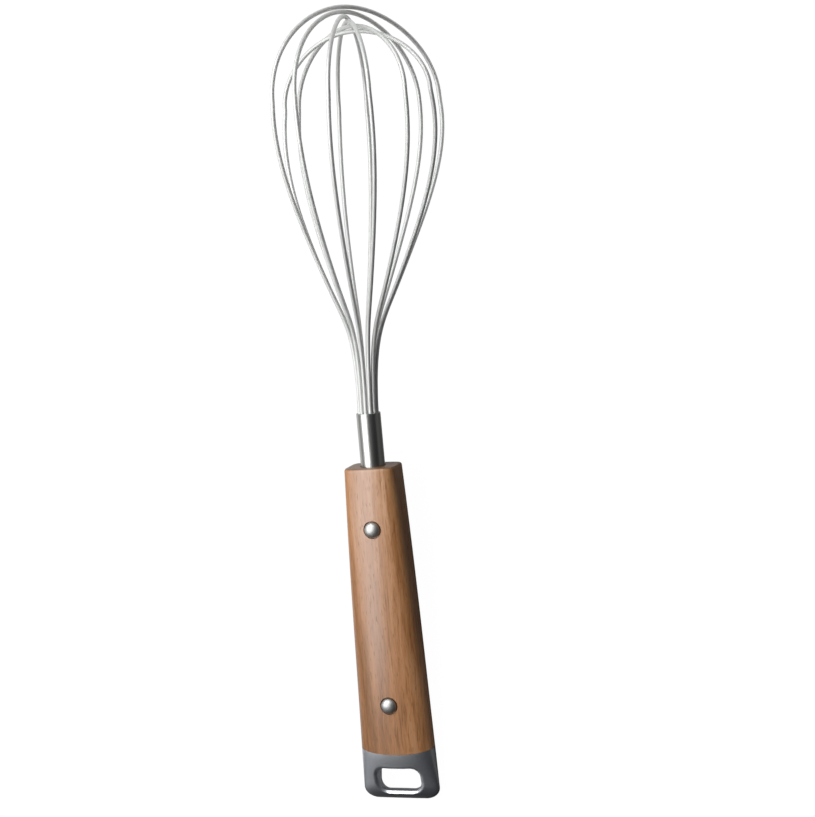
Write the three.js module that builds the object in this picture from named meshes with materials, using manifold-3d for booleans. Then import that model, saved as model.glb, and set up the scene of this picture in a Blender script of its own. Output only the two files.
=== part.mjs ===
// Balloon whisk: six wire loops in a steel ferrule, a wooden handle, two rivets and a slotted metal end cap.
// Millimetres. It is built along its own +Y axis, with y = 0 at the top of the wood, the balloon towards +Y
// and the front of the handle towards +Z. It is then laid on a table, +Z up, the way a whisk comes to rest.

import * as THREE from "three";
import { mergeVertices } from "three/addons/utils/BufferGeometryUtils.js";
import Module from "manifold-3d";

// Wires
const wireDiameter = 1.6;
const wireSides = 8;
const wireSteps = 76;

// Profile of one leg, from the ferrule's mouth: a straight neck, a flare, a belly and a crown
const neckHandle = 30;
const shoulderRadius = 13.4;
const shoulderHeight = 47.8;
const shoulderHandleBelow = 15.5;
const shoulderHandleAbove = 33.5;
const flareAngle = 24.4;
const bellyRadius = 34;
const bellyHeight = 115;
const bellyHandle = 19;
const crownHeight = 148.8;
const crownSideShare = 0.58;
const crownTopShare = 0.48;

// The whole head leans a little, as the hand-set loops of the real one do
const headLeanRight = 2.4;
const headLeanFront = 1.2;

// Loops from the top of the crown down: place in the ring of legs, twist and extra radius at the belly,
// and how far the sides swing along the loop's plane and bow across it
const loopPhase = -3;
const loopSettings = [
  { place: 5, twist: -16, fuller: 1.8, swing: -4, bow: 0.5 },
  { place: 4, twist: -3, fuller: -0.2, swing: -1.3, bow: -3.8 },
  { place: 3, twist: -4, fuller: 0.2, swing: 0.2, bow: 0.7 },
  { place: 2, twist: 5, fuller: 0.2, swing: 0.1, bow: -1.1 },
  { place: 1, twist: 9.5, fuller: 0.2, swing: -0.1, bow: 0.5 },
  { place: 0, twist: 23.5, fuller: 0.5, swing: 1.5, bow: -1.3 },
];

// Clearances
const legGap = 0.1;
const legToTubeGap = 0.12;
const crownGap = 0.2;
const seatGap = 0.3;
const rivetFit = 0.2;

// Ferrule and plug
const ferruleWall = 0.4;
const ferruleLength = 20.1;
const ferruleSeat = 34;
const legSeat = 36;
const plugRecess = 1.5;
const plugChamfer = 0.6;

// Handle, from its top to the end cap: width, thickness, the power of its superellipse section, and how far
// its front and back drop towards the corners
const handleLength = 110.6;
const handleTop = { width: 19.9, thickness: 16.4, power: 6, crown: 0.1 };
const handleFoot = { width: 29.2, thickness: 13.9, power: 2.3, crown: 0 };
const handleCornerFade = 2;
const handleTopRound = 0.7;
const handleSwell = 0.8;
const handleBays = 10;

// End cap
const capLength = 20;
const capEndWidth = 30.8;
const capEndThickness = 3.6;
const capBulge = 1.25;
const capCornerAcross = 6;
const capCornerAlong = 4.6;
const capEdgeRound = 0.8;
const capBays = 6;
const tangWidth = 16;
const tangThickness = 4;
const tangLength = 27;
const slotWidth = 17.2;
const slotHeight = 9.7;
const slotCorner = 3.6;
const slotToEnd = 3.7;
const slotCornerSegments = 5;

// Rivets: the upper one is placed from the top of the wood, the lower one from its foot
const upperRivetDown = 23.3;
const lowerRivetUp = 18.8;
const rivetHead = 6;
const rivetHeadRim = 0.35;
const rivetHeadHeight = 1.9;
const rivetSpotDepth = 0.5;
const rivetSleeve = 4.2;
const rivetPin = 2.4;
const rivetPinLength = 7;

// Facets and resting pose
const sectionPoints = 40;
const roundSides = 28;
const rivetSides = 24;
const topRoundAngles = [0, 45, 90];
const capCornerAngles = [25, 50, 70, 90];
const rivetDomeAngles = [0, 20, 40, 60, 75];
const weldDistance = 1e-4;
const restRoll = 7.55;
const cutMargin = 5;

// Worked-out sizes
const legCount = 2 * loopSettings.length;
const legStep = 360 / legCount;
const wireRadius = wireDiameter / 2;
const ringRadius = (wireDiameter + legGap) / (2 * Math.sin(THREE.MathUtils.degToRad(legStep / 2)));
const ferruleBore = ringRadius + wireRadius + legToTubeGap;
const ferruleRadius = ferruleBore + ferruleWall;
const plugRadius = ringRadius - wireRadius - legToTubeGap;
const capTop = -handleLength - seatGap;
const capBottom = capTop - capLength;
const lowerRivetDown = handleLength - lowerRivetUp;
const throughLength = 2 * handleTop.thickness;

const materials = {
  wire: new THREE.MeshStandardMaterial({ color: 0xc4c6c4, roughness: 0.25, metalness: 1 }),
  tube: new THREE.MeshStandardMaterial({ color: 0xb4b5b1, roughness: 0.15, metalness: 1 }),
  plug: new THREE.MeshStandardMaterial({ color: 0x8a8c8c, roughness: 0.4, metalness: 1 }),
  wood: new THREE.MeshStandardMaterial({ color: 0xa97c58, roughness: 0.55, metalness: 0 }),
  cap: new THREE.MeshStandardMaterial({ color: 0x7c8084, roughness: 0.38, metalness: 1 }),
  rivet: new THREE.MeshStandardMaterial({ color: 0xc8cac8, roughness: 0.12, metalness: 1 }),
};

const wasm = await Module();
wasm.setup();

// A closed geometry as a solid for cuts and joins
function toSolid(geometry) {
  const bare = geometry.clone();
  bare.deleteAttribute("normal");
  bare.deleteAttribute("uv");
  const merged = mergeVertices(bare, weldDistance);
  const mesh = new wasm.Mesh({
    numProp: 3,
    vertProperties: new Float32Array(merged.attributes.position.array),
    triVerts: new Uint32Array(merged.index.array),
  });
  mesh.merge();
  return new wasm.Manifold(mesh);
}

function toGeometry(solid) {
  const mesh = solid.getMesh();
  const geometry = new THREE.BufferGeometry();
  geometry.setAttribute("position", new THREE.BufferAttribute(mesh.vertProperties, 3));
  geometry.setIndex(new THREE.BufferAttribute(mesh.triVerts, 1));
  geometry.computeVertexNormals();
  return geometry;
}

function cut(geometry, tools) {
  let solid = toSolid(geometry);
  for (const tool of tools) {
    solid = solid.subtract(toSolid(tool));
  }
  return toGeometry(solid);
}

// One closed skin over a row of rings that have the same number of points, from +Y down
function loft(rings) {
  const count = rings[0].length;
  const points = rings.flat();
  const index = [];
  for (let row = 0; row < rings.length - 1; row += 1) {
    for (let i = 0; i < count; i += 1) {
      const a = row * count + i;
      const b = row * count + ((i + 1) % count);
      index.push(a, b, a + count);
      index.push(b, b + count, a + count);
    }
  }
  const last = (rings.length - 1) * count;
  for (let i = 1; i < count - 1; i += 1) {
    index.push(0, i + 1, i);
    index.push(last, last + i, last + i + 1);
  }
  const geometry = new THREE.BufferGeometry().setFromPoints(points);
  geometry.setIndex(index);
  geometry.computeVertexNormals();
  return geometry;
}

// Superellipse ring across the handle at height y
function sectionRing(halfWidth, halfThickness, power, y, crown = 0) {
  const ring = [];
  for (let i = 0; i < sectionPoints; i += 1) {
    const angle = (2 * Math.PI * i) / sectionPoints;
    const c = Math.cos(angle);
    const s = Math.sin(angle);
    const across = Math.sign(c) * Math.abs(c) ** (2 / power);
    const z = halfThickness * Math.sign(s) * Math.abs(s) ** (2 / power) * (1 - crown * across ** 2);
    ring.push(new THREE.Vector3(halfWidth * across, y, z));
  }
  return ring;
}

// Round bar along Z through the handle at height y
function crossBar(radius, y, z, length) {
  const bar = new THREE.CylinderGeometry(radius, radius, length, rivetSides);
  return bar.rotateX(Math.PI / 2).translate(0, y, z);
}

// Height and radius of one leg, from its end inside the ferrule to the top of the crown
function legProfile(apex, belly) {
  const flare = THREE.MathUtils.degToRad(flareAngle);
  const along = new THREE.Vector2(Math.sin(flare), Math.cos(flare));
  const foot = new THREE.Vector2(ringRadius, -legSeat);
  const mouth = new THREE.Vector2(ringRadius, 0);
  const shoulder = new THREE.Vector2(shoulderRadius, shoulderHeight);
  const wide = new THREE.Vector2(belly, bellyHeight);
  const rise = apex - bellyHeight;
  const profile = new THREE.CurvePath();
  profile.add(new THREE.LineCurve(foot, mouth));
  profile.add(new THREE.CubicBezierCurve(
    mouth,
    new THREE.Vector2(ringRadius, neckHandle),
    shoulder.clone().addScaledVector(along, -shoulderHandleBelow),
    shoulder,
  ));
  profile.add(new THREE.CubicBezierCurve(
    shoulder,
    shoulder.clone().addScaledVector(along, shoulderHandleAbove),
    new THREE.Vector2(belly, bellyHeight - bellyHandle),
    wide,
  ));
  profile.add(new THREE.CubicBezierCurve(
    wide,
    new THREE.Vector2(belly, bellyHeight + crownSideShare * rise),
    new THREE.Vector2(crownTopShare * belly, apex),
    new THREE.Vector2(0, apex),
  ));
  return profile;
}

// Centre line of one wire: up one leg, over the crown and down the opposite leg
class LoopCurve extends THREE.Curve {
  constructor(settings, level) {
    super();
    this.settings = settings;
    this.apex = crownHeight - level * (wireDiameter + crownGap);
    this.profile = legProfile(this.apex, bellyRadius + settings.fuller);
  }

  getPoint(t, target = new THREE.Vector3()) {
    const side = t < 0.5 ? 1 : -1;
    const spot = this.profile.getPoint(Math.min(1, side > 0 ? 2 * t : 2 - 2 * t));
    const height = Math.max(0, spot.y);
    const reach = Math.min(1, height / bellyHeight);
    const degrees = loopPhase + legStep * this.settings.place + this.settings.twist * reach ** 2;
    const azimuth = THREE.MathUtils.degToRad(degrees);
    const sway = Math.sin(Math.PI * (height / this.apex) ** 2);
    const along = side * spot.x + this.settings.swing * sway;
    const across = this.settings.bow * sway;
    const leanRight = height * Math.tan(THREE.MathUtils.degToRad(headLeanRight));
    const leanFront = height * Math.tan(THREE.MathUtils.degToRad(headLeanFront));
    return target.set(
      along * Math.cos(azimuth) - across * Math.sin(azimuth) + leanRight,
      ferruleLength + spot.y,
      along * Math.sin(azimuth) + across * Math.cos(azimuth) + leanFront,
    );
  }
}

function wireLoop(settings, level) {
  const section = new THREE.Shape();
  for (let i = 0; i < wireSides; i += 1) {
    const angle = (2 * Math.PI * i) / wireSides;
    const x = wireRadius * Math.cos(angle);
    const y = wireRadius * Math.sin(angle);
    if (i === 0) {
      section.moveTo(x, y);
    } else {
      section.lineTo(x, y);
    }
  }
  section.closePath();
  return new THREE.ExtrudeGeometry(section, {
    steps: wireSteps,
    extrudePath: new LoopCurve(settings, level),
    bevelEnabled: false,
  });
}

// Tube around the legs, with a cross hole for the upper rivet
function ferruleTube() {
  const wall = [
    new THREE.Vector2(ferruleBore, -ferruleSeat),
    new THREE.Vector2(ferruleRadius, -ferruleSeat),
    new THREE.Vector2(ferruleRadius, ferruleLength),
    new THREE.Vector2(ferruleBore, ferruleLength),
    new THREE.Vector2(ferruleBore, -ferruleSeat),
  ];
  const tube = new THREE.LatheGeometry(wall, roundSides);
  return cut(tube, [crossBar(rivetSleeve / 2 + seatGap, -upperRivetDown, 0, throughLength)]);
}

// Plug in the middle of the legs
function corePlug() {
  const top = ferruleLength - plugRecess;
  const bottom = ferruleLength - legSeat;
  const outline = [
    new THREE.Vector2(0, bottom),
    new THREE.Vector2(plugRadius, bottom),
    new THREE.Vector2(plugRadius, top - plugChamfer),
    new THREE.Vector2(plugRadius - plugChamfer, top),
    new THREE.Vector2(0, top),
  ];
  return new THREE.LatheGeometry(outline, roundSides);
}

// Section of the grip at a distance down from the top of the wood
function gripSection(down) {
  const share = down / handleLength;
  const swell = handleSwell * Math.sin(Math.PI * share);
  const corner = (1 - share) ** handleCornerFade;
  return {
    halfWidth: (THREE.MathUtils.lerp(handleTop.width, handleFoot.width, share) + swell) / 2,
    halfThickness: THREE.MathUtils.lerp(handleTop.thickness, handleFoot.thickness, share) / 2,
    power: THREE.MathUtils.lerp(handleFoot.power, handleTop.power, corner),
    crown: THREE.MathUtils.lerp(handleFoot.crown, handleTop.crown, corner),
  };
}

function handleGrip() {
  const rings = [];
  for (const angle of topRoundAngles) {
    const turn = THREE.MathUtils.degToRad(angle);
    const inset = handleTopRound * (1 - Math.sin(turn));
    const down = handleTopRound * (1 - Math.cos(turn));
    const at = gripSection(down);
    rings.push(sectionRing(at.halfWidth - inset, at.halfThickness - inset, at.power, -down, at.crown));
  }
  for (let i = 1; i <= handleBays; i += 1) {
    const down = THREE.MathUtils.lerp(handleTopRound, handleLength, i / handleBays);
    const at = gripSection(down);
    rings.push(sectionRing(at.halfWidth, at.halfThickness, at.power, -down, at.crown));
  }
  const boreDepth = ferruleSeat + seatGap;
  const bore = new THREE.CylinderGeometry(
    ferruleRadius + seatGap, ferruleRadius + seatGap, boreDepth + cutMargin, roundSides,
  );
  bore.translate(0, (cutMargin - boreDepth) / 2, 0);
  const mortiseDepth = tangLength + seatGap;
  const mortise = new THREE.BoxGeometry(
    tangWidth + 2 * seatGap, mortiseDepth + cutMargin, tangThickness + 2 * seatGap,
  );
  mortise.translate(0, capTop + seatGap + (mortiseDepth - cutMargin) / 2, 0);
  const tools = [bore, mortise];
  for (const down of [upperRivetDown, lowerRivetDown]) {
    const face = gripSection(down).halfThickness;
    tools.push(crossBar(rivetSleeve / 2 + seatGap, -down, 0, throughLength));
    for (const side of [1, -1]) {
      const spot = side * (face - rivetSpotDepth + cutMargin / 2);
      tools.push(crossBar(rivetHead / 2 + seatGap, -down, spot, cutMargin));
    }
  }
  return cut(loft(rings), tools);
}

// Half thickness of the end cap at a share of its length
function capHalfThickness(share) {
  const full = capEndThickness + (handleFoot.thickness - capEndThickness) * (1 - share ** capBulge);
  return full / 2;
}

function endCap() {
  const rings = [];
  const straight = capLength - capCornerAlong;
  for (let i = 0; i <= capBays; i += 1) {
    const down = (straight * i) / capBays;
    const halfWidth = THREE.MathUtils.lerp(handleFoot.width, capEndWidth, down / capLength) / 2;
    rings.push(sectionRing(halfWidth, capHalfThickness(down / capLength), handleFoot.power, capTop - down));
  }
  for (const angle of capCornerAngles) {
    const turn = THREE.MathUtils.degToRad(angle);
    const down = straight + capCornerAlong * Math.sin(turn);
    const halfWidth = THREE.MathUtils.lerp(handleFoot.width, capEndWidth, down / capLength) / 2;
    const inset = 1 - Math.cos(turn);
    rings.push(sectionRing(
      halfWidth - capCornerAcross * inset,
      capHalfThickness(down / capLength) - capEdgeRound * inset,
      handleFoot.power,
      capTop - down,
    ));
  }
  const tang = new THREE.BoxGeometry(tangWidth, tangLength + cutMargin, tangThickness);
  tang.translate(0, capTop + (tangLength - cutMargin) / 2, 0);
  const slot = new THREE.ExtrudeGeometry(slotShape(), {
    depth: throughLength,
    bevelEnabled: false,
    curveSegments: slotCornerSegments,
  });
  slot.translate(0, capBottom + slotToEnd, -throughLength / 2);
  const hole = crossBar(rivetSleeve / 2 + seatGap, -lowerRivetDown, 0, throughLength);
  const body = toSolid(loft(rings)).add(toSolid(tang));
  return toGeometry(body.subtract(toSolid(slot)).subtract(toSolid(hole)));
}

// Rounded rectangle of the hanging slot, standing on y = 0
function slotShape() {
  const half = slotWidth / 2;
  const shape = new THREE.Shape();
  shape.moveTo(-half + slotCorner, 0);
  shape.lineTo(half - slotCorner, 0);
  shape.absarc(half - slotCorner, slotCorner, slotCorner, -Math.PI / 2, 0);
  shape.lineTo(half, slotHeight - slotCorner);
  shape.absarc(half - slotCorner, slotHeight - slotCorner, slotCorner, 0, Math.PI / 2);
  shape.lineTo(-half + slotCorner, slotHeight);
  shape.absarc(-half + slotCorner, slotHeight - slotCorner, slotCorner, Math.PI / 2, Math.PI);
  shape.lineTo(-half, slotCorner);
  shape.absarc(-half + slotCorner, slotCorner, slotCorner, Math.PI, 1.5 * Math.PI);
  return shape;
}

// Outline of a domed rivet head, from its rim to the axis, with its flat side at height 0
function headOutline() {
  const outline = [new THREE.Vector2(rivetHead / 2, 0)];
  for (const angle of rivetDomeAngles) {
    const turn = THREE.MathUtils.degToRad(angle);
    const height = rivetHeadRim + (rivetHeadHeight - rivetHeadRim) * Math.sin(turn);
    outline.push(new THREE.Vector2((rivetHead / 2) * Math.cos(turn), height));
  }
  outline.push(new THREE.Vector2(0, rivetHeadHeight));
  return outline;
}

// Height of a rivet head's flat side above the middle of the handle
function headSeat(down) {
  return gripSection(down).halfThickness - rivetSpotDepth + seatGap;
}

// Front half of a rivet: a head with a pin
function rivetPost(down) {
  const outline = [
    new THREE.Vector2(0, -rivetPinLength),
    new THREE.Vector2(rivetPin / 2, -rivetPinLength),
    new THREE.Vector2(rivetPin / 2, 0),
    ...headOutline(),
  ];
  const post = new THREE.LatheGeometry(outline, rivetSides);
  return post.rotateX(Math.PI / 2).translate(0, -down, headSeat(down));
}

// Back half of a rivet: a head with a sleeve that takes the pin
function rivetSocket(down) {
  const seat = headSeat(down);
  const sleeveLength = 2 * seat - seatGap;
  const boreFloor = 2 * seat - rivetPinLength - seatGap;
  const outline = [
    new THREE.Vector2(0, -boreFloor),
    new THREE.Vector2(rivetPin / 2 + rivetFit, -boreFloor),
    new THREE.Vector2(rivetPin / 2 + rivetFit, -sleeveLength),
    new THREE.Vector2(rivetSleeve / 2, -sleeveLength),
    new THREE.Vector2(rivetSleeve / 2, 0),
    ...headOutline(),
  ];
  const socket = new THREE.LatheGeometry(outline, rivetSides);
  return socket.rotateX(-Math.PI / 2).translate(0, -down, -seat);
}

const whisk = new THREE.Group();

function place(name, geometry, material) {
  const mesh = new THREE.Mesh(geometry, material);
  mesh.name = name;
  whisk.add(mesh);
}

loopSettings.forEach((settings, level) => {
  place(`wire_loop_${level + 1}`, wireLoop(settings, level), materials.wire);
});
place("ferrule_tube", ferruleTube(), materials.tube);
place("core_plug", corePlug(), materials.plug);
place("handle", handleGrip(), materials.wood);
place("end_cap", endCap(), materials.cap);
for (const [name, down] of [["upper_rivet", upperRivetDown], ["lower_rivet", lowerRivetDown]]) {
  place(`${name}_post`, rivetPost(down), materials.rivet);
  place(`${name}_socket`, rivetSocket(down), materials.rivet);
}

// Slope of the line that the whisk rests on: the edge of its lower hull, seen from the side, that spans y = 0
function restingSlope(points) {
  const hull = [];
  const turn = (a, b, c) => (b.y - a.y) * (c.z - a.z) - (b.z - a.z) * (c.y - a.y);
  for (const point of points.sort((a, b) => a.y - b.y)) {
    while (hull.length > 1 && turn(hull.at(-2), hull.at(-1), point) <= 0) {
      hull.pop();
    }
    hull.push(point);
  }
  const next = hull.findIndex((point) => point.y > 0);
  return (hull[next].z - hull[next - 1].z) / (hull[next].y - hull[next - 1].y);
}

function worldPoints(group) {
  const points = [];
  group.updateMatrixWorld(true);
  group.traverse((node) => {
    if (node.isMesh) {
      const position = node.geometry.attributes.position;
      for (let i = 0; i < position.count; i += 1) {
        points.push(new THREE.Vector3().fromBufferAttribute(position, i).applyMatrix4(node.matrixWorld));
      }
    }
  });
  return points;
}

// Lay it down: roll onto two wires, tip onto balloon and handle, then bring the middle of its box's floor
// to the origin
const part = new THREE.Group();
part.add(whisk);
whisk.rotation.y = THREE.MathUtils.degToRad(restRoll);
part.rotation.x = -Math.atan(restingSlope(worldPoints(part)));
part.updateMatrixWorld(true);
const box = new THREE.Box3().setFromObject(part, true);
part.position.set(-(box.min.x + box.max.x) / 2, -(box.min.y + box.max.y) / 2, -box.min.z);

export default part;
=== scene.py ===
# Balloon whisk with a wooden handle, lying on a pale table
import bpy
import math
from mathutils import Matrix, Vector


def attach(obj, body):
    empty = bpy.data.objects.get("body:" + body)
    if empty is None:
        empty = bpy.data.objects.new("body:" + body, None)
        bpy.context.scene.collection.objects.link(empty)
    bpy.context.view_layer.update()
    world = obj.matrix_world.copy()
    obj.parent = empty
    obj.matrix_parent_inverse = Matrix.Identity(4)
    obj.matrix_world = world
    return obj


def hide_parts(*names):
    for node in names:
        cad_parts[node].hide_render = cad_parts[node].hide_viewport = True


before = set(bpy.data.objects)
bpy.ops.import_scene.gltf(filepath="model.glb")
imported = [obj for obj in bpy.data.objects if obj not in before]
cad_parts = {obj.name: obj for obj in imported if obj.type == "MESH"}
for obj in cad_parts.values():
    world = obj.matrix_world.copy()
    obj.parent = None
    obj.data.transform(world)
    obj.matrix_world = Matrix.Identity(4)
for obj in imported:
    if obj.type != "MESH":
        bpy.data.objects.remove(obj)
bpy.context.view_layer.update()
mm = 0.001
scene = bpy.context.scene
scene.view_settings.view_transform = "Standard"

# Every piece is modelled along +Y, with the top of the wood at y = 0 and the front of the handle
# towards +Z, then rolled, tipped and set down on the table as the solids lie
lie = {"roll": 7.55, "tip": 5.8331, "place": (-6.52154, -19.13107, 18.51964)}
toTable = (Matrix.Translation(Vector(lie["place"]) * mm)
           @ Matrix.Rotation(math.radians(lie["tip"]), 4, "X")
           @ Matrix.Rotation(math.radians(lie["roll"]), 4, "Y"))
zToY = Matrix.Rotation(math.radians(-90), 4, "X")


# Camera, at the photograph's viewing angle
cameraSettings = {"lens": 67.683, "sensor": 36, "nearest": 0.01,
                  "place": (248.087, 15.944, 539.773), "turn": (-2.5698, 24.5658, -2.8026)}

bpy.ops.object.select_all(action="DESELECT")
bpy.ops.object.camera_add(location=Vector(cameraSettings["place"]) * mm)
camera = bpy.context.object
camera.name = "productCamera"
camera.rotation_euler = [math.radians(angle) for angle in cameraSettings["turn"]]
camera.data.lens = cameraSettings["lens"]
camera.data.sensor_width = cameraSettings["sensor"]
camera.data.clip_start = cameraSettings["nearest"]
scene.camera = camera
print("camera set")


# Small tools for modelling, sizes in millimetres
modelling = {"weld": 0.005, "barSides": 64, "bevelSteps": 2, "smooth": 35}


def clearSelection():
    if bpy.context.object and bpy.context.object.mode != "OBJECT":
        bpy.ops.object.mode_set(mode="OBJECT")
    bpy.ops.object.select_all(action="DESELECT")


def makeActive(piece):
    clearSelection()
    piece.select_set(True)
    bpy.context.view_layer.objects.active = piece


def settle():  # puts the active object's place, turn and size into its mesh
    bpy.ops.object.transform_apply(location=True, rotation=True, scale=True)
    return bpy.context.object


def pickEdges(piece, test):  # leaves the piece in edit mode, with only the edges that pass selected
    makeActive(piece)
    bpy.ops.object.mode_set(mode="EDIT")
    bpy.ops.mesh.select_mode(type="EDGE")
    bpy.ops.mesh.select_all(action="DESELECT")
    bpy.ops.object.mode_set(mode="OBJECT")
    points = [vertex.co for vertex in piece.data.vertices]
    for edge in piece.data.edges:
        edge.select = test(points[edge.vertices[0]], points[edge.vertices[1]])
    bpy.ops.object.mode_set(mode="EDIT")


def closeUp(piece):  # welds doubles and turns all faces outwards
    makeActive(piece)
    bpy.ops.object.mode_set(mode="EDIT")
    bpy.ops.mesh.select_all(action="SELECT")
    bpy.ops.mesh.remove_doubles(threshold=modelling["weld"] * mm)
    bpy.ops.mesh.normals_make_consistent(inside=False)
    bpy.ops.object.mode_set(mode="OBJECT")


def applyModifier(piece, kind, **settings):
    makeActive(piece)
    modifier = piece.modifiers.new(kind.lower(), kind)
    for key, value in settings.items():
        setattr(modifier, key, value)
    bpy.ops.object.modifier_apply(modifier=modifier.name)


def combine(piece, other, operation):  # boolean with another solid, which is used up
    applyModifier(piece, "BOOLEAN", operation=operation, object=other, solver="EXACT")
    bpy.data.objects.remove(other)


def roundBar(radius, centre, length, sides=modelling["barSides"]):  # bar along Z
    clearSelection()
    bpy.ops.mesh.primitive_cylinder_add(vertices=sides, radius=radius * mm, depth=length * mm,
                                        location=Vector(centre) * mm)
    return settle()


def block(size, centre, edge=0):  # box, with its edges bevelled where an edge size is given
    clearSelection()
    bpy.ops.mesh.primitive_cube_add(size=1, location=Vector(centre) * mm, scale=Vector(size) * mm)
    piece = settle()
    if edge:
        pickEdges(piece, lambda a, b: True)
        bpy.ops.mesh.bevel(offset=edge * mm, segments=modelling["bevelSteps"], affect="EDGES")
        bpy.ops.object.mode_set(mode="OBJECT")
    return piece


def turned(rings, sides):  # turned piece on Z from (radius, height) rings, closed to a point at the last
    clearSelection()
    radius, height = rings[0]
    bpy.ops.mesh.primitive_circle_add(vertices=sides, radius=radius * mm, fill_type="NGON",
                                      location=(0, 0, height * mm))
    piece = settle()
    bpy.ops.object.mode_set(mode="EDIT")
    bpy.ops.mesh.select_mode(type="FACE")
    bpy.ops.mesh.select_all(action="SELECT")
    for nextRadius, nextHeight in rings[1:]:
        bpy.ops.mesh.extrude_region_move(
            TRANSFORM_OT_translate={"value": (0, 0, (nextHeight - height) * mm)})
        if nextRadius == 0:
            bpy.ops.mesh.merge(type="CENTER")
        else:
            ratio = nextRadius / radius
            bpy.ops.transform.resize(value=(ratio, ratio, 1), center_override=(0, 0, nextHeight * mm))
        radius, height = nextRadius, nextHeight
    bpy.ops.object.mode_set(mode="OBJECT")
    closeUp(piece)
    return piece


def copyOf(piece):
    twin = piece.copy()
    twin.data = piece.data.copy()
    scene.collection.objects.link(twin)
    return twin


def setDown(piece, name, node, slot, local=Matrix(), smooth=modelling["smooth"]):
    piece.name = name
    piece.data.name = name
    makeActive(piece)
    piece.matrix_world = toTable @ local
    settle()
    bpy.ops.object.shade_smooth_by_angle(angle=math.radians(smooth))
    piece.data.materials.clear()
    piece.data.materials.append(finishes[slot])
    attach(piece, "root")
    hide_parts(node)
    print("placed", name, "faces", len(piece.data.polygons))


# Materials
mixA, mixB, mixOut = 6, 7, 2  # colour sockets of a Mix node
white = (1, 1, 1, 1)


def tone(code):  # sRGB hex to linear
    parts = [int(code[i:i + 2], 16) / 255 for i in (1, 3, 5)]
    return tuple(p / 12.92 if p <= 0.04045 else ((p + 0.055) / 1.055) ** 2.4 for p in parts) + (1.0,)


def addNode(tree, kind, feeds=None, ramp=None, **settings):
    node = tree.nodes.new(kind)
    for key, value in settings.items():
        setattr(node, key, value)
    for socket, source in (feeds or {}).items():
        if isinstance(source, bpy.types.NodeSocket):
            tree.links.new(source, node.inputs[socket])
        else:
            node.inputs[socket].default_value = source
    if ramp:
        stops = node.color_ramp.elements
        while len(stops) < len(ramp):
            stops.new(1)
        for stop, (position, colour) in zip(stops, ramp):
            stop.position = position
            stop.color = colour
    return node


def newMaterial(name):
    material = bpy.data.materials.new(name)
    material.use_nodes = True
    tree = material.node_tree
    shader = tree.nodes["Principled BSDF"]
    spot = addNode(tree, "ShaderNodeTexCoord")
    # back from the table to the whisk's own axes, in millimetres
    own = addNode(tree, "ShaderNodeMapping", {
        "Vector": spot.outputs["Object"],
        "Location": toTable.translation,
        "Rotation": toTable.to_euler("XYZ"),
        "Scale": (mm, mm, mm),
    }, vector_type="TEXTURE")
    return material, tree, shader, own.outputs["Vector"]


# Oiled hardwood, turned and sanded along the grain: warm brown, soft long streaks, short dark pores,
# a faint satin from the oil. Widths are across the grain and lengths along it, in millimetres.
woodLook = {
    "tones": [(0.0, "#6b4523"), (0.4, "#ab784e"), (0.7, "#c79c79"), (1.0, "#e1c1a9")],
    # the rise in tone towards the top is painted light, falling off towards the foot
    "plain": 0.475, "rightPaler": 0.01, "paintedLightTop": 0.0018,
    "wander": 30, "drift": (2.5, 0, 2.5),
    "bands": {"width": 3.2, "length": 42, "Detail": 3, "Roughness": 0.6}, "bandShow": 0.65,
    "fibres": {"width": 0.5, "length": 8, "Detail": 2, "Roughness": 0.7}, "fibreShow": 0.34,
    "growth": {"width": 0.75, "length": 18, "Detail": 2, "Roughness": 0.6},
    "growthSpan": (0.52, 0.7), "growthShow": 0.24, "growthSide": (-4, 6), "growthLeft": 0.15,
    # the edge tone and its spans paint shade along the right edge of the board
    "edge": "#d9cdb6", "shadeShare": (0.69, 0.86), "shadeAlong": (-95, -60), "boardHalf": (9.95, 0.042),
    # the pale tone and its spans paint a sheen, the soft box's reflection, down the middle of the board
    "sheenTint": "#e6d0c7", "sheenShow": 0.28, "sheenAlong": (-112, -55),
    "sheenMiddle": 0.1, "sheenLean": 0.024, "sheenHalf": 0.6, "sheenFade": 5.6,
    "pores": {"width": 0.35, "length": 3, "Detail": 0},
    "pore": "#62401f", "poreSpan": (0.66, 0.78), "poreShow": 0.42,
    "endGrain": "#5f4630", "endShow": 0.75, "endReach": 0.8,
    "shineSpan": (0.3, 0.7), "rough": (0.36, 0.44), "bumpHeight": 0.015, "bump": 0.6,
    "ior": 1.5, "oil": 0.35, "oilRough": 0.32,
}


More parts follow.
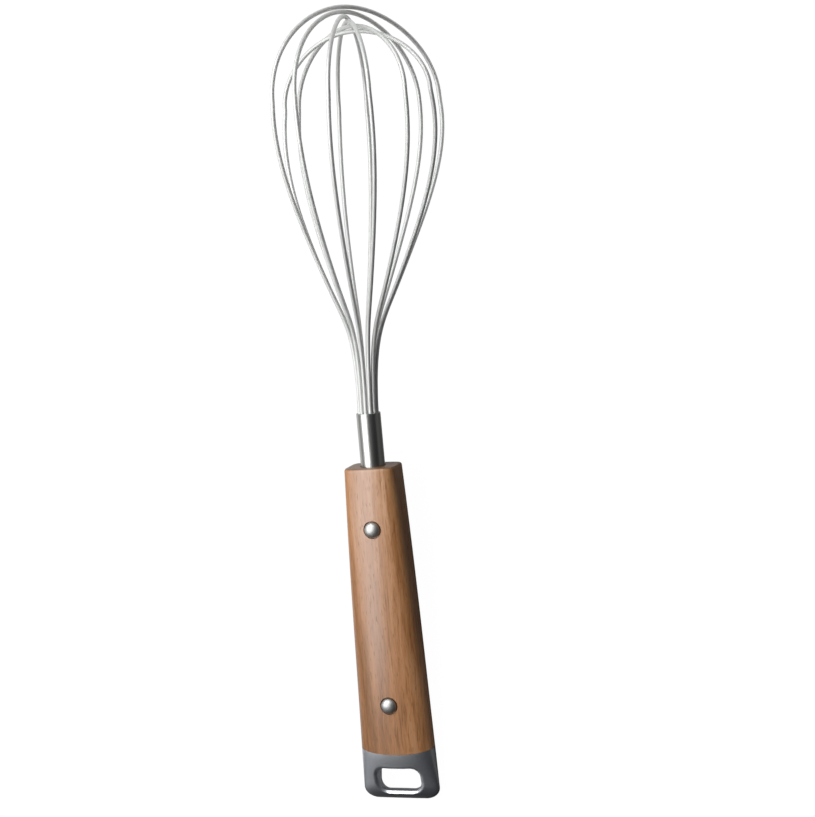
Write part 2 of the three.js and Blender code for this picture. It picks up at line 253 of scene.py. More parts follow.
def oiledWood():
    look = woodLook
    material, tree, shader, own = newMaterial("oiledHardwoodSanded")
    wander = addNode(tree, "ShaderNodeTexNoise", {"Vector": own, "Scale": 1 / look["wander"], "Detail": 1})
    drift = addNode(tree, "ShaderNodeVectorMath", {
        0: wander.outputs["Color"], 1: look["drift"]}, operation="MULTIPLY")
    lines = addNode(tree, "ShaderNodeVectorMath", {0: own, 1: drift.outputs[0]}, operation="ADD")
    axes = addNode(tree, "ShaderNodeSeparateXYZ", {0: lines.outputs[0]})
    across, along = axes.outputs["X"], axes.outputs["Y"]

    def streaks(width, length, **settings):  # noise stretched along the grain
        place = addNode(tree, "ShaderNodeMapping", {
            "Vector": lines.outputs[0], "Scale": (1 / width, 1 / length, 1 / width)})
        noise = addNode(tree, "ShaderNodeTexNoise", {
            "Vector": place.outputs[0], "Scale": 1, **settings})
        return noise.outputs["Fac"]

    # bands and fibres on a plain tone that is a little paler on the right, and paler at the top as painted
    # light falling off towards the foot
    bands = streaks(**look["bands"])
    fibres = streaks(**look["fibres"])
    level = look["plain"] - (look["bandShow"] + look["fibreShow"]) / 2
    for source, amount in ((across, look["rightPaler"]), (along, look["paintedLightTop"]),
                           (bands, look["bandShow"]), (fibres, look["fibreShow"])):
        level = addNode(tree, "ShaderNodeMath", {0: source, 1: amount, 2: level},
                        operation="MULTIPLY_ADD").outputs[0]
    # darker growth lines towards the right of the board
    growth = addNode(tree, "ShaderNodeMapRange", {
        "Value": streaks(**look["growth"]), "From Min": look["growthSpan"][0],
        "From Max": look["growthSpan"][1], "To Max": look["growthShow"]})
    rightSide = addNode(tree, "ShaderNodeMapRange", {
        "Value": across, "From Min": look["growthSide"][0], "From Max": look["growthSide"][1],
        "To Min": look["growthLeft"]}, interpolation_type="SMOOTHSTEP")
    darker = addNode(tree, "ShaderNodeMath", {
        0: growth.outputs[0], 1: rightSide.outputs[0]}, operation="MULTIPLY")
    lined = addNode(tree, "ShaderNodeMath", {0: level, 1: darker.outputs[0]}, operation="SUBTRACT")
    ramp = addNode(tree, "ShaderNodeValToRGB", {"Fac": lined.outputs[0]},
                   ramp=[(position, tone(code)) for position, code in look["tones"]])
    # painted shade: the wood is deeper and more golden along the right edge, which is turned from the lamp,
    # less so towards the foot
    half, widening = look["boardHalf"]
    boardHalf = addNode(tree, "ShaderNodeMath", {0: along, 1: -widening, 2: half}, operation="MULTIPLY_ADD")
    acrossShare = addNode(tree, "ShaderNodeMath", {0: across, 1: boardHalf.outputs[0]}, operation="DIVIDE")
    atShadedEdge = addNode(tree, "ShaderNodeMapRange", {
        "Value": acrossShare.outputs[0], "From Min": look["shadeShare"][0],
        "From Max": look["shadeShare"][1]}, interpolation_type="SMOOTHSTEP")
    alongShadedEdge = addNode(tree, "ShaderNodeMapRange", {
        "Value": along, "From Min": look["shadeAlong"][0],
        "From Max": look["shadeAlong"][1]}, interpolation_type="SMOOTHSTEP")
    paintedShadePart = addNode(tree, "ShaderNodeMath", {
        0: atShadedEdge.outputs[0], 1: alongShadedEdge.outputs[0]}, operation="MULTIPLY")
    # painted sheen: a strip of paler, whitish colour leans down the middle of the board, where the soft box
    # is mirrored, and fades towards the foot
    leaning = addNode(tree, "ShaderNodeMath", {
        0: along, 1: -look["sheenLean"], 2: across}, operation="MULTIPLY_ADD")
    fromSheen = addNode(tree, "ShaderNodeMath", {
        0: leaning.outputs[0], 1: look["sheenMiddle"]}, operation="SUBTRACT")
    offSheen = addNode(tree, "ShaderNodeMath", {0: fromSheen.outputs[0]}, operation="ABSOLUTE")
    sheenStrip = addNode(tree, "ShaderNodeMapRange", {
        "Value": offSheen.outputs[0], "From Min": look["sheenHalf"],
        "From Max": look["sheenHalf"] + look["sheenFade"],
        "To Min": 1.0, "To Max": 0.0}, interpolation_type="SMOOTHSTEP")
    sheenAmount = addNode(tree, "ShaderNodeMapRange", {
        "Value": along, "From Min": look["sheenAlong"][0], "From Max": look["sheenAlong"][1],
        "To Max": look["sheenShow"]}, interpolation_type="SMOOTHSTEP")
    paintedSheenPart = addNode(tree, "ShaderNodeMath", {
        0: sheenStrip.outputs[0], 1: sheenAmount.outputs[0]}, operation="MULTIPLY")
    poreMask = addNode(tree, "ShaderNodeMapRange", {
        "Value": streaks(**look["pores"]), "From Min": look["poreSpan"][0],
        "From Max": look["poreSpan"][1], "To Max": look["poreShow"]})
    # the sawn end at the top drinks more oil and is darker
    sawn = addNode(tree, "ShaderNodeMapRange", {
        "Value": along, "From Min": -look["endReach"], "From Max": 0.0,
        "To Max": look["endShow"]}, interpolation_type="SMOOTHSTEP")
    colour = ramp.outputs["Color"]
    for part, code, blend in ((paintedShadePart, look["edge"], "MULTIPLY"), (paintedSheenPart, look["sheenTint"], "MIX"),
                              (poreMask, look["pore"], "MIX"), (sawn, look["endGrain"], "MIX")):
        colour = addNode(tree, "ShaderNodeMix", {
            "Factor": part.outputs[0], mixA: colour, mixB: tone(code)},
            data_type="RGBA", blend_type=blend).outputs[mixOut]
    shine = addNode(tree, "ShaderNodeMapRange", {
        "Value": fibres, "From Min": look["shineSpan"][0], "From Max": look["shineSpan"][1],
        "To Min": look["rough"][0], "To Max": look["rough"][1]})
    height = addNode(tree, "ShaderNodeMath", {0: fibres, 1: poreMask.outputs[0]}, operation="SUBTRACT")
    bump = addNode(tree, "ShaderNodeBump", {
        "Height": height.outputs[0], "Distance": look["bumpHeight"] * mm, "Strength": look["bump"]})
    tree.links.new(colour, shader.inputs["Base Color"])
    tree.links.new(shine.outputs[0], shader.inputs["Roughness"])
    tree.links.new(bump.outputs[0], shader.inputs["Normal"])
    shader.inputs["IOR"].default_value = look["ior"]
    shader.inputs["Coat Weight"].default_value = look["oil"]
    shader.inputs["Coat Roughness"].default_value = look["oilRough"]
    return material


# Metals: name, two tones of the metal, roughness from and to, size of the mottle across and along
# in millimetres, and the depth of the marks left by the finish
metalLooks = {
    # cold-drawn stainless spring wire, bright with a slight grey cast and faint draw marks
    "wire": {"name": "drawnStainlessWire", "dark": "#dadbd9", "light": "#e2e3e1",
             "rough": (0.64, 0.7), "across": 1.2, "along": 30, "marks": 0.0005},
    # polished stainless tube, nearly a mirror, with hairlines along it
    "ferrule": {"name": "polishedStainlessTube", "dark": "#adaeaa", "light": "#b8b9b5",
                "rough": (0.28, 0.33), "across": 0.3, "along": 18, "marks": 0.0006},
    # plain steel plug, cut and left dull
    "plug": {"name": "plainSteelPlug", "dark": "#6d6f70", "light": "#868889",
             "rough": (0.4, 0.5), "across": 0.4, "along": 0.4, "marks": 0.004},
    # blasted cast steel, an even soft grey with no streaks, rubbed smoother at its end
    "cap": {"name": "blastedCastSteel", "dark": "#cdd0d5", "light": "#d7dadf",
            "rough": (0.4, 0.46), "across": 0.3, "along": 0.3, "marks": 0.002,
            "rubbed": {"from": -125, "to": -131, "smoother": 0.6}},
    # polished steel dome, worn to a soft bright spot
    "rivet": {"name": "polishedSteelRivet", "dark": "#b6b7b4", "light": "#bdbebb",
              "rough": (0.43, 0.47), "across": 1.5, "along": 1.5, "marks": 0.0001},
}
metalMottle = {"detail": 3, "rough": 0.6, "toneSpan": (0.35, 0.65), "shineSpan": (0.3, 0.7), "bump": 0.5}


def metal(look):
    material, tree, shader, own = newMaterial(look["name"])
    place = addNode(tree, "ShaderNodeMapping", {
        "Vector": own, "Scale": (1 / look["across"], 1 / look["along"], 1 / look["across"])})
    mottle = addNode(tree, "ShaderNodeTexNoise", {
        "Vector": place.outputs[0], "Scale": 1,
        "Detail": metalMottle["detail"], "Roughness": metalMottle["rough"]})
    colour = addNode(tree, "ShaderNodeValToRGB", {"Fac": mottle.outputs["Fac"]}, ramp=[
        (metalMottle["toneSpan"][0], tone(look["dark"])), (metalMottle["toneSpan"][1], tone(look["light"]))])
    shine = addNode(tree, "ShaderNodeMapRange", {
        "Value": mottle.outputs["Fac"],
        "From Min": metalMottle["shineSpan"][0], "From Max": metalMottle["shineSpan"][1],
        "To Min": look["rough"][0], "To Max": look["rough"][1]})
    if "rubbed" in look:
        rubbed = look["rubbed"]
        axes = addNode(tree, "ShaderNodeSeparateXYZ", {0: own})
        rub = addNode(tree, "ShaderNodeMapRange", {
            "Value": axes.outputs["Y"], "From Min": rubbed["to"], "From Max": rubbed["from"],
            "To Min": rubbed["smoother"]})
        shine = addNode(tree, "ShaderNodeMath", {
            0: shine.outputs[0], 1: rub.outputs[0]}, operation="MULTIPLY")
    bump = addNode(tree, "ShaderNodeBump", {
        "Height": mottle.outputs["Fac"], "Distance": look["marks"] * mm, "Strength": metalMottle["bump"]})
    tree.links.new(colour.outputs["Color"], shader.inputs["Base Color"])
    tree.links.new(shine.outputs[0], shader.inputs["Roughness"])
    tree.links.new(bump.outputs[0], shader.inputs["Normal"])
    shader.inputs["Metallic"].default_value = 1
    return material


finishes = {slot: metal(look) for slot, look in metalLooks.items()}
finishes["wood"] = oiledWood()
print("materials made", len(finishes))


# Wire loops: each runs up one leg, over the crown and down the opposite leg
wire = {
    "diameter": 1.6, "legs": 12, "legGap": 0.1, "legSeat": 36, "ferruleLength": 20.1,
    "neckHandle": 30, "shoulder": (13.4, 47.8), "handleBelow": 15.5, "handleAbove": 33.5, "flare": 24.4,
    "bellyRadius": 33.86, "bellyHeight": 115, "bellyHandle": 19,
    "crownHeight": 148.75, "crownStep": 1.8, "crownSide": 0.58, "crownTop": 0.48,
    "leanRight": 2.4, "leanFront": 1.2, "phase": -3,
    "neckSteps": 10, "flankSteps": 12, "crownSteps": 14, "curveSteps": 4, "bevelSteps": 5, "smooth": 50,
    "loops": [
        {"place": 5, "twist": -16, "fuller": 1.8, "swing": -4, "bow": 0.5},
        {"place": 4, "twist": -3, "fuller": -0.2, "swing": -1.3, "bow": -3.8},
        {"place": 3, "twist": -4, "fuller": 0.2, "swing": 0.2, "bow": 0.7},
        {"place": 2, "twist": 5, "fuller": 0.2, "swing": 0.1, "bow": -1.1},
        {"place": 1, "twist": 9.5, "fuller": 0.2, "swing": -0.1, "bow": 0.5},
        {"place": 0, "twist": 23.5, "fuller": 0.5, "swing": 1.5, "bow": -1.3},
    ],
}
legStep = 360 / wire["legs"]
ringRadius = (wire["diameter"] + wire["legGap"]) / (2 * math.sin(math.radians(legStep / 2)))


def bezierRun(a, b, c, d, steps):
    run = []
    for i in range(1, steps + 1):
        t = i / steps
        run.append(a * (1 - t) ** 3 + b * 3 * t * (1 - t) ** 2 + c * 3 * t * t * (1 - t) + d * t ** 3)
    return run


def legProfile(apex, belly):  # radius and height of one leg, from its end in the ferrule to the crown
    flare = math.radians(wire["flare"])
    outwards = Vector((math.sin(flare), math.cos(flare)))
    mouth = Vector((ringRadius, 0))
    shoulder = Vector(wire["shoulder"])
    wide = Vector((belly, wire["bellyHeight"]))
    rise = apex - wire["bellyHeight"]
    run = [Vector((ringRadius, -wire["legSeat"])), Vector((ringRadius, -wire["legSeat"] / 2)), mouth]
    run += bezierRun(mouth, Vector((ringRadius, wire["neckHandle"])),
                     shoulder - outwards * wire["handleBelow"], shoulder, wire["neckSteps"])
    run += bezierRun(shoulder, shoulder + outwards * wire["handleAbove"],
                     Vector((belly, wire["bellyHeight"] - wire["bellyHandle"])), wide, wire["flankSteps"])
    run += bezierRun(wide, Vector((belly, wire["bellyHeight"] + wire["crownSide"] * rise)),
                     Vector((wire["crownTop"] * belly, apex)), Vector((0, apex)), wire["crownSteps"])
    return run


def loopPoints(loop, layer):  # one loop's own turn, twist, sway and lean on the common profile
    apex = wire["crownHeight"] - layer * wire["crownStep"]
    profile = legProfile(apex, wire["bellyRadius"] + loop["fuller"])
    bothLegs = [(1, spot) for spot in profile] + [(-1, spot) for spot in reversed(profile[:-1])]
    points = []
    for side, spot in bothLegs:
        height = max(0, spot.y)
        reach = min(1, height / wire["bellyHeight"])
        azimuth = math.radians(wire["phase"] + legStep * loop["place"] + loop["twist"] * reach ** 2)
        sway = math.sin(math.pi * (height / apex) ** 2)
        inPlane = side * spot.x + loop["swing"] * sway
        offPlane = loop["bow"] * sway
        right = height * math.tan(math.radians(wire["leanRight"]))
        front = height * math.tan(math.radians(wire["leanFront"]))
        points.append(Vector((
            inPlane * math.cos(azimuth) - offPlane * math.sin(azimuth) + right,
            wire["ferruleLength"] + spot.y,
            inPlane * math.sin(azimuth) + offPlane * math.cos(azimuth) + front,
        )) * mm)
    return points


for layer, loop in enumerate(wire["loops"]):
    clearSelection()
    bpy.ops.curve.primitive_bezier_curve_add()
    bent = bpy.context.object
    route = loopPoints(loop, layer)
    spline = bent.data.splines[0]
    spline.bezier_points.add(len(route) - len(spline.bezier_points))
    for knot, point in zip(spline.bezier_points, route):
        knot.co = point
        knot.handle_left_type = "AUTO"
        knot.handle_right_type = "AUTO"
    spline.resolution_u = wire["curveSteps"]
    bent.data.bevel_depth = wire["diameter"] / 2 * mm
    bent.data.bevel_resolution = wire["bevelSteps"]
    bent.data.use_fill_caps = True
    bpy.ops.object.convert(target="MESH")
    bent = bpy.context.object
    closeUp(bent)
    setDown(bent, "bentWire%d" % (layer + 1), "wire_loop_%d" % (layer + 1), "wire", smooth=wire["smooth"])


# Ferrule: a plain cut tube, seated deep in the wood, with the core plug inside the ring of legs
ferrule = {"wall": 0.4, "legToTube": 0.12, "seat": 34, "sides": 128,
           "rim": 0.12, "rimSteps": 3, "rimAngle": 60, "rivetDown": 23.3, "crossHole": 4.8}
plug = {"recess": 1.5, "chamfer": 0.6, "edge": 0.2, "dome": 0.1, "sides": 48}
ferruleRadius = ringRadius + wire["diameter"] / 2 + ferrule["legToTube"] + ferrule["wall"]
tubeLength = wire["ferruleLength"] + ferrule["seat"]
tubeMiddle = (wire["ferruleLength"] - ferrule["seat"]) / 2

clearSelection()
bpy.ops.mesh.primitive_cylinder_add(vertices=ferrule["sides"], radius=ferruleRadius * mm,
                                    depth=tubeLength * mm, end_fill_type="NOTHING",
                                    location=(0, 0, tubeMiddle * mm))
tube = settle()
applyModifier(tube, "SOLIDIFY", thickness=ferrule["wall"] * mm, offset=-1)
applyModifier(tube, "BEVEL", width=ferrule["rim"] * mm, segments=ferrule["rimSteps"],
              limit_method="ANGLE", angle_limit=math.radians(ferrule["rimAngle"]))
crossHole = roundBar(ferrule["crossHole"] / 2, (0, 0, 0), 4 * ferruleRadius)
crossHole.data.transform(Matrix.Translation((0, 0, -ferrule["rivetDown"] * mm))
                         @ Matrix.Rotation(math.radians(90), 4, "X"))
combine(tube, crossHole, "DIFFERENCE")
setDown(tube, "polishedSleeve", "ferrule_tube", "ferrule", zToY)

plugRadius = ringRadius - wire["diameter"] / 2 - ferrule["legToTube"]
plugTop = wire["ferruleLength"] - plug["recess"]
plugFoot = wire["ferruleLength"] - wire["legSeat"]
core = turned([(plugRadius, plugFoot), (plugRadius, plugTop - plug["chamfer"]),
               (plugRadius - plug["edge"], plugTop - plug["edge"]),
               (plugRadius - plug["chamfer"], plugTop), (0, plugTop + plug["dome"])], plug["sides"])
setDown(core, "wireCore", "core_plug", "plug", zToY)


# Handle: one length of wood that widens and thins towards its foot.
# Its top and foot give the width, thickness, squareness and crown of the section there.
grip = {
    "length": 110.9, "top": (19.9, 16.4, 6, 0.1), "foot": (29.2, 13.83, 2.3, 0),
    "cornerFade": 2, "swell": 0.8, "topRound": 0.9, "topSteps": 5,
    "start": 10, "spare": 1, "around": 160, "bays": 70, "gap": 0.3, "boreSides": 96,
    "footArc": 85, "footLow": 0.4, "arcDepth": 60, "arcSides": 720, "joint": 0.06,
    "tang": (16, 4, 27), "rivetsDown": (ferrule["rivetDown"], 91.8),
    "rivetHead": 6, "rivetSpot": 0.5, "rivetSleeve": 4.2,
    "spotGap": 0.45, "spotDepth": 1.3, "spotCut": 4, "spotSides": 96,
}


def gripSection(down):  # half width, half thickness, squareness and crown of the section
    share = min(1, down / grip["length"])
    corner = (1 - share) ** grip["cornerFade"]
    width, thickness, power, crown = [
        foot + (top - foot) * fade for top, foot, fade in
        zip(grip["top"], grip["foot"], (1 - share, 1 - share, corner, corner))]
    return (width + grip["swell"] * math.sin(math.pi * share)) / 2, thickness / 2, power, crown


def footDisc(gap):  # the arc that the foot of the wood is cut to, and the cap with it
    middle = (0, grip["footArc"] - grip["length"] - grip["footLow"], 0)
    return roundBar(grip["footArc"] + gap, middle, grip["arcDepth"], grip["arcSides"])


barEnds = []
for end in (0, -grip["length"] - grip["spare"]):
    clearSelection()
    bpy.ops.mesh.primitive_circle_add(vertices=grip["around"], radius=grip["start"] * mm,
                                      location=(0, end * mm, 0), rotation=(math.pi / 2, 0, 0))
    barEnds.append(settle())
makeActive(barEnds[0])
barEnds[1].select_set(True)
bpy.ops.object.join()
handle = bpy.context.object
bpy.ops.object.mode_set(mode="EDIT")
bpy.ops.mesh.select_mode(type="EDGE")
bpy.ops.mesh.select_all(action="SELECT")
bpy.ops.mesh.bridge_edge_loops(number_cuts=grip["bays"])
bpy.ops.object.mode_set(mode="OBJECT")
for vertex in handle.data.vertices:  # from a round bar to the section at each height
    halfWidth, halfThickness, power, crown = gripSection(-vertex.co.y / mm)
    angle = math.atan2(vertex.co.z, vertex.co.x)
    c, s = math.cos(angle), math.sin(angle)
    acrossBar = math.copysign(abs(c) ** (2 / power), c)
    throughBar = math.copysign(abs(s) ** (2 / power), s)
    vertex.co.x = halfWidth * acrossBar * mm
    vertex.co.z = halfThickness * throughBar * (1 - crown * acrossBar ** 2) * mm
bpy.ops.object.mode_set(mode="EDIT")
bpy.ops.mesh.select_all(action="SELECT")
bpy.ops.mesh.fill_holes(sides=0)
bpy.ops.mesh.normals_make_consistent(inside=False)
topEdge = -0.001 * mm
pickEdges(handle, lambda a, b: a.y > topEdge and b.y > topEdge)
bpy.ops.mesh.bevel(offset=grip["topRound"] * mm, segments=grip["topSteps"], affect="EDGES")
bpy.ops.object.mode_set(mode="OBJECT")

# the foot's arc, the bore for the tube, the mortise for the tang, and the holes and seats of the rivets
combine(handle, footDisc(0), "INTERSECT")
boreDepth = ferrule["seat"] + grip["gap"]
bore = roundBar(ferruleRadius + grip["gap"], (0, 0, 0), 2 * boreDepth, grip["boreSides"])
bore.data.transform(zToY)
combine(handle, bore, "DIFFERENCE")
tangWidth, tangThickness, tangLength = grip["tang"]
mortise = (tangWidth + 2 * grip["gap"], 2 * (tangLength + grip["gap"]), tangThickness + 2 * grip["gap"])
combine(handle, block(mortise, (0, -grip["length"], 0)), "DIFFERENCE")
for down in grip["rivetsDown"]:
    face = gripSection(down)[1]
    combine(handle, roundBar(grip["rivetSleeve"] / 2 + grip["gap"], (0, -down, 0), 3 * face), "DIFFERENCE")
    for side in (1, -1):
        spotMiddle = side * (face - grip["spotDepth"] + grip["spotCut"] / 2)
        combine(handle, roundBar(grip["rivetHead"] / 2 + grip["spotGap"], (0, -down, spotMiddle),
                                 grip["spotCut"], grip["spotSides"]), "DIFFERENCE")
setDown(handle, "woodGrip", "handle", "wood")


# End cap: a ring of metal round the hanging slot, as thick as the wood where they meet and thin at its end
cap = {
    "length": 20, "width": (grip["foot"][0], 30.8), "thickness": (grip["foot"][1], 3.6),
    "power": grip["foot"][2], "bulge": 1.25, "cornerAcross": 6, "cornerAlong": 4.6, "endRound": 6.5,
    "slot": (17.2, 9.7), "slotCorner": 3.6, "slotToEnd": 3.7, "slotRound": 1.4, "slotDrop": 1.4,
    "topSpare": 1.2, "endSteps": 12, "cornerSteps": 16, "sideSteps": 20, "topSteps": 16,
    "wallSteps": 3, "roundSteps": 7, "faceSteps": 20, "jointSteps": 3,
    "tangRoot": 2, "tangEdge": 0.3, "tangHole": 4.8, "tangCut": 12,
}
capTop = -grip["length"]
capEnd = capTop - cap["length"]
capStraight = cap["length"] - cap["cornerAlong"]
slotMiddle = capEnd + cap["slotToEnd"] + cap["slot"][1] / 2


def capHalfWidth(down):  # the side widens down to the corner, then rounds in
    wide = cap["width"][0] + (cap["width"][1] - cap["width"][0]) * down / cap["length"]
    bend = math.asin(min(1, max(0, (down - capStraight) / cap["cornerAlong"])))
    return wide / 2 - cap["cornerAcross"] * (1 - math.cos(bend))


def capSurface(x, y):  # height of the front face
    down = min(cap["length"], max(0, capTop - y))
    thick = cap["thickness"][1] + (cap["thickness"][0] - cap["thickness"][1]) * (
        1 - (down / cap["length"]) ** cap["bulge"])
    share = min(1, abs(x) / capHalfWidth(down))
    toEnd = min(1, (cap["length"] - down) / cap["endRound"])
    return thick / 2 * (1 - share ** cap["power"]) ** (1 / cap["power"]) * math.sqrt(1 - (1 - toEnd) ** 2)


def capOutline():  # right half from the middle of the end up to the joint, then its mirror
    foot = capHalfWidth(cap["length"])
    right = [(foot * i / cap["endSteps"], capEnd) for i in range(cap["endSteps"] + 1)]
    bends = [math.radians(90 * (1 - i / cap["cornerSteps"])) for i in range(1, cap["cornerSteps"] + 1)]
    downs = [cap["length"] - cap["cornerAlong"] * (1 - math.sin(bend)) for bend in bends]
    downs += [capStraight * (1 - i / cap["sideSteps"]) for i in range(1, cap["sideSteps"] + 1)]
    right += [(capHalfWidth(down), capTop - down) for down in downs]
    right += [(cap["width"][0] / 2 * math.cos(math.pi / 2 * i / cap["topSteps"]), capTop + cap["topSpare"])
              for i in range(cap["topSteps"] + 1)]
    return right + [(-x, y) for x, y in reversed(right[1:-1])]


def slotReach(direction, grow):  # from the slot's middle to its outline grown by a distance
    halfX, halfY = cap["slot"][0] / 2 + grow, cap["slot"][1] / 2 + grow
    corner = cap["slotCorner"] + grow
    dx, dy = abs(direction.x), abs(direction.y)
    if dx * (halfY - corner) >= dy * halfX:
        return halfX / dx
    if dy * (halfX - corner) >= dx * halfY:
        return halfY / dy
    middle = Vector((halfX - corner, halfY - corner))
    nearest = dx * middle.x + dy * middle.y
    return nearest + math.sqrt(nearest * nearest - middle.length_squared + corner * corner)


def capSection(outerX, outerY):  # closed section from the slot's wall over the front to the outline and back
    toOuter = Vector((outerX, outerY - slotMiddle))
    direction = toOuter.normalized()
    rim = slotReach(direction, cap["slotRound"])
    rimTop = capSurface(direction.x * rim, slotMiddle + direction.y * rim)
    front = []
    for i in range(cap["wallSteps"]):
        front.append((slotReach(direction, 0), (rimTop - cap["slotDrop"]) * i / cap["wallSteps"]))
    for i in range(cap["roundSteps"]):
        bend = math.radians(90 * i / cap["roundSteps"])
        front.append((slotReach(direction, cap["slotRound"] * (1 - math.cos(bend))),
                      rimTop - cap["slotDrop"] * (1 - math.sin(bend))))
    for i in range(cap["faceSteps"] + 1):
        reach = rim + (toOuter.length - rim) * math.sin(math.pi / 2 * i / cap["faceSteps"])
        front.append((reach, capSurface(direction.x * reach, slotMiddle + direction.y * reach)))
    edge = front[-1][1]
    front += [(toOuter.length, edge * (1 - i / cap["jointSteps"])) for i in range(1, cap["jointSteps"] + 1)]
    section = front + [(reach, -height) for reach, height in reversed(front[1:-1])]
    return [Vector((direction.x * reach, slotMiddle + direction.y * reach, height)) * mm
            for reach, height in section]


sections = [capSection(x, y) for x, y in capOutline()]
clearSelection()
bpy.ops.mesh.primitive_torus_add(major_segments=len(sections), minor_segments=len(sections[0]))
hangEnd = bpy.context.object
for vertex, point in zip(hangEnd.data.vertices, [point for section in sections for point in section]):
    vertex.co = point
closeUp(hangEnd)
combine(hangEnd, footDisc(grip["joint"]), "DIFFERENCE")
tang = block((tangWidth, tangLength + cap["tangRoot"], tangThickness),
             (0, capTop + tangLength / 2 - cap["tangRoot"] / 2, 0), cap["tangEdge"])
combine(hangEnd, tang, "UNION")
combine(hangEnd, roundBar(cap["tangHole"] / 2, (0, -grip["rivetsDown"][1], 0), cap["tangCut"]), "DIFFERENCE")
setDown(hangEnd, "slottedEnd", "end_cap", "cap")


# Rivets: a domed post through the front and a domed socket through the back
rivet = {"rim": 0.35, "edge": 0.1, "height": 1.9, "domeSteps": 12, "sides": 72, "smooth": 40,
         "pin": 2.4, "pinLength": 7, "pinEdge": 0.2, "fit": 0.2}


def domeRings():
    half = grip["rivetHead"] / 2
    rings = [(half - rivet["edge"], 0), (half, rivet["edge"]), (half, rivet["rim"])]
    for i in range(1, rivet["domeSteps"]):
        bend = math.pi / 2 * i / rivet["domeSteps"]
        rings.append((half * math.cos(bend),
                      rivet["rim"] + (rivet["height"] - rivet["rim"]) * math.sin(bend)))
    return rings + [(0, rivet["height"])]


pinRadius = rivet["pin"] / 2
pinRings = [(pinRadius - rivet["pinEdge"], -rivet["pinLength"]),
            (pinRadius, -rivet["pinLength"] + rivet["pinEdge"]), (pinRadius, 0)]
post = turned(pinRings + domeRings(), rivet["sides"])
for name, down in zip(("upper", "lower"), grip["rivetsDown"]):
    seat = gripSection(down)[1] - grip["rivetSpot"] + grip["gap"]
    sleeve = 2 * seat - grip["gap"]
    boreFloor = 2 * seat - rivet["pinLength"] - grip["gap"]
    boreRadius = pinRadius + rivet["fit"]
    socket = turned([(boreRadius, -boreFloor), (boreRadius, -sleeve), (grip["rivetSleeve"] / 2, -sleeve),
                     (grip["rivetSleeve"] / 2, 0)] + domeRings(), rivet["sides"])
    toFront = Matrix.Translation(Vector((0, -down, seat)) * mm)
    toBack = Matrix.Translation(Vector((0, -down, -seat)) * mm) @ Matrix.Rotation(math.pi, 4, "X")
    setDown(copyOf(post), name + "RivetPost", name + "_rivet_post", "rivet", toFront, rivet["smooth"])
    setDown(socket, name + "RivetSocket", name + "_rivet_socket", "rivet", toBack, rivet["smooth"])
bpy.data.objects.remove(post)


# Table: a white sweep. Shade and dimming are only for what the metal mirrors.
stage = {"floorSize": 6, "floorDrop": 0.25, "floorColour": "#8c8c8b", "floorWhite": 0.88, "floorGlow": 1.12,
         "shadeReach": 200, "shadeDepth": 2.6, "shadeSamples": 8,
         "farSide": (-6, 8), "farHead": 0.55, "farDim": 0.15,
         "footFrom": -143, "footTo": -150, "footDim": 0.08}


def whiteSweep():
    material = bpy.data.materials.new("whiteSweep")
    material.use_nodes = True
    tree = material.node_tree
    tree.nodes.clear()
    paint = addNode(tree, "ShaderNodeBsdfDiffuse", {"Color": tone(stage["floorColour"])})
    ray = addNode(tree, "ShaderNodeLightPath")
    spot = addNode(tree, "ShaderNodeTexCoord")
    axes = addNode(tree, "ShaderNodeSeparateXYZ", {0: spot.outputs["Object"]})
    # in the metal's reflections the white dims close to the whisk, as its contact shadow does,
    # on the side away from the lamp, and past the foot
    contact = addNode(tree, "ShaderNodeAmbientOcclusion", {
        "Distance": stage["shadeReach"] * mm}, samples=stage["shadeSamples"])
    shade = addNode(tree, "ShaderNodeMath", {
        0: contact.outputs["AO"], 1: stage["shadeDepth"]}, operation="POWER")
    atHead = addNode(tree, "ShaderNodeMath", {0: axes.outputs["Y"], 1: 0.0}, operation="MAXIMUM")
    away = addNode(tree, "ShaderNodeMath", {
        0: atHead.outputs[0], 1: -stage["farHead"], 2: axes.outputs["X"]}, operation="MULTIPLY_ADD")
    falloff = addNode(tree, "ShaderNodeMapRange", {
        "Value": away.outputs[0], "From Min": stage["farSide"][0] * mm, "From Max": stage["farSide"][1] * mm,
        "To Min": 1.0, "To Max": stage["farDim"]}, interpolation_type="SMOOTHSTEP")
    pastFoot = addNode(tree, "ShaderNodeMapRange", {
        "Value": axes.outputs["Y"], "From Min": stage["footTo"] * mm, "From Max": stage["footFrom"] * mm,
        "To Min": stage["footDim"]}, interpolation_type="SMOOTHSTEP")
    dimmed = addNode(tree, "ShaderNodeMath", {
        0: falloff.outputs[0], 1: pastFoot.outputs[0]}, operation="MULTIPLY")
    mirrored = addNode(tree, "ShaderNodeMath", {
        0: shade.outputs[0], 1: dimmed.outputs[0]}, operation="MULTIPLY")
    strength = addNode(tree, "ShaderNodeMapRange", {
        "Value": ray.outputs["Is Glossy Ray"], "To Min": stage["floorGlow"], "To Max": mirrored.outputs[0]})
    glow = addNode(tree, "ShaderNodeEmission", {"Color": white, "Strength": strength.outputs[0]})
    # the camera sees mostly white, with the whisk's own soft shadow in the rest
    direct = addNode(tree, "ShaderNodeMath", {
        0: ray.outputs["Is Camera Ray"], 1: ray.outputs["Is Transmission Ray"]}, operation="MAXIMUM")
    directShare = addNode(tree, "ShaderNodeMath", {
        0: direct.outputs[0], 1: stage["floorWhite"]}, operation="MULTIPLY")
    glowShare = addNode(tree, "ShaderNodeMath", {
        0: directShare.outputs[0], 1: ray.outputs["Is Glossy Ray"]}, operation="MAXIMUM")
    mixed = addNode(tree, "ShaderNodeMixShader", {
        0: glowShare.outputs[0], 1: paint.outputs[0], 2: glow.outputs[0]})
    addNode(tree, "ShaderNodeOutputMaterial", {"Surface": mixed.outputs[0]})
    return material


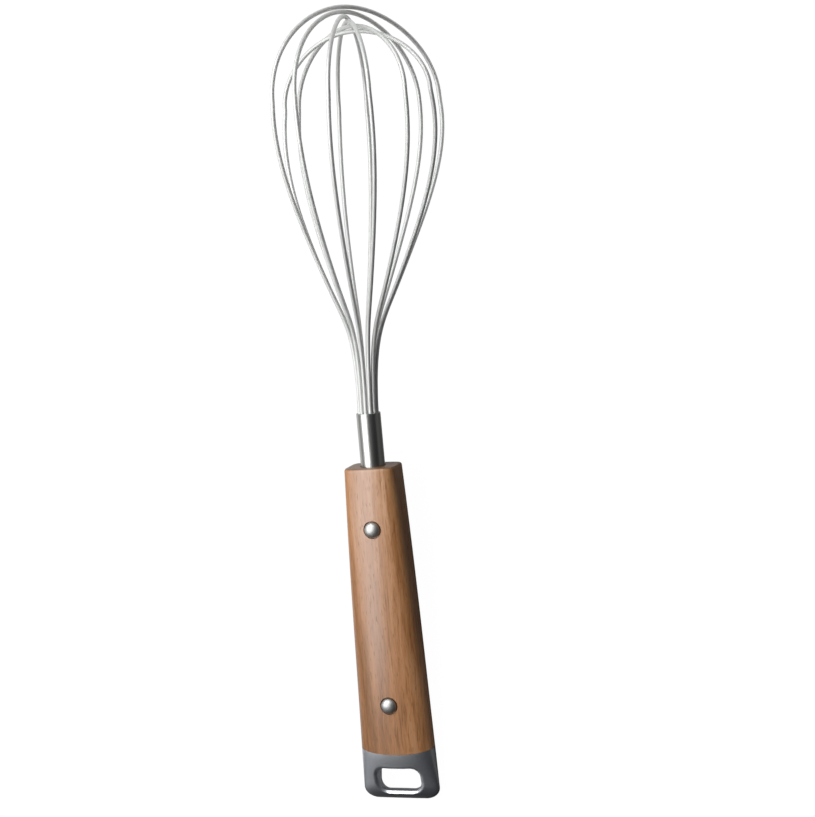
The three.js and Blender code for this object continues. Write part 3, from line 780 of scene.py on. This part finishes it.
clearSelection()
bpy.ops.mesh.primitive_plane_add(size=stage["floorSize"], location=(0, 0, -stage["floorDrop"] * mm))
floor = bpy.context.object
floor.name = "paleTable"
floor.data.materials.append(whiteSweep())


# Light: one big soft box high on the left, in a dim room that is paler towards the upper left
soft = {"place": (-166, 100, 470), "aim": (0, 30, 10), "turn": 15, "size": (0.42, 0.8), "power": 3.9}
room = {"far": "#303133", "left": "#a6a7a9", "lean": 1.2, "reach": (-0.7, 0.75), "strength": 1.0}

clearSelection()
bpy.ops.object.light_add(type="AREA", location=Vector(soft["place"]) * mm)
softBox = bpy.context.object
softBox.name = "softBox"
softBox.data.shape = "RECTANGLE"
softBox.data.size, softBox.data.size_y = soft["size"]
softBox.data.energy = soft["power"]
boxAim = (Vector(soft["aim"]) - Vector(soft["place"])).normalized()
boxTurn = math.radians(soft["turn"])
boxLong = Vector((math.sin(boxTurn), math.cos(boxTurn), 0))
boxLong = (boxLong - boxAim * boxLong.dot(boxAim)).normalized()
softBox.rotation_euler = Matrix((boxLong.cross(-boxAim), boxLong, -boxAim)).transposed().to_euler()


def dimRoom():
    world = bpy.data.worlds.new("dimRoom")
    world.use_nodes = True
    tree = world.node_tree
    around = addNode(tree, "ShaderNodeTexCoord")
    axes = addNode(tree, "ShaderNodeSeparateXYZ", {0: around.outputs["Generated"]})
    upwards = addNode(tree, "ShaderNodeMath", {0: axes.outputs["Y"], 1: room["lean"]}, operation="MULTIPLY")
    upLeft = addNode(tree, "ShaderNodeMath", {
        0: upwards.outputs[0], 1: axes.outputs["X"]}, operation="SUBTRACT")
    wall = addNode(tree, "ShaderNodeMapRange", {
        "Value": upLeft.outputs[0], "From Min": room["reach"][0], "From Max": room["reach"][1]})
    walls = addNode(tree, "ShaderNodeMix", {
        "Factor": wall.outputs[0], mixA: tone(room["far"]), mixB: tone(room["left"])}, data_type="RGBA")
    # the camera sees the sweep go on as white past the edge of the table
    ray = addNode(tree, "ShaderNodeLightPath")
    behind = addNode(tree, "ShaderNodeMix", {
        "Factor": ray.outputs["Is Camera Ray"], mixA: walls.outputs[mixOut], mixB: white}, data_type="RGBA")
    background = tree.nodes["Background"]
    tree.links.new(behind.outputs[mixOut], background.inputs["Color"])
    background.inputs["Strength"].default_value = room["strength"]
    return world


scene.world = dimRoom()
print("table and light set")
